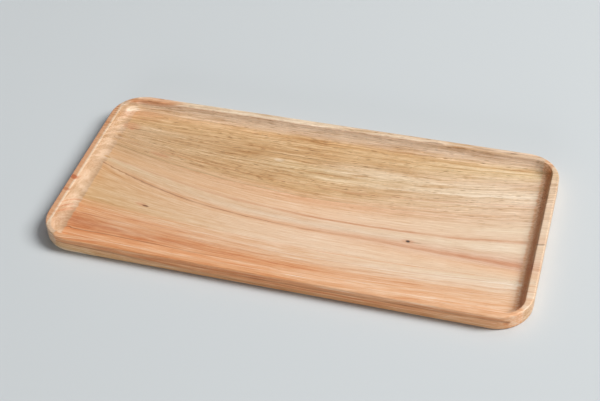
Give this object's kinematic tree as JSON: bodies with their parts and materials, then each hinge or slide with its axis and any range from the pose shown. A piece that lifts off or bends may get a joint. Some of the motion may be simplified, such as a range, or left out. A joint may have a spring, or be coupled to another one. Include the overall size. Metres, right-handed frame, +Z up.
{
  "type": "coin tray",
  "caption": "Long shallow tray carved from one board of hardwood, with a flat rim, rounded corners and a coved well for coins, notes and small things.",
  "frame": {"origin": "centre of the flat underside", "axes": "+X along the length, +Y across the width, +Z up out of the well"},
  "size_m": [0.3, 0.143, 0.0104],
  "materials": {
    "wood": "oiled light hardwood, satin, with bowed yellow-brown and pinkish-orange growth lines, fine open pores and two pin knots; end grain on the short sides"
  },
  "bodies": {
    "root": {"tray": "wood"}
  },
  "joints": []
}
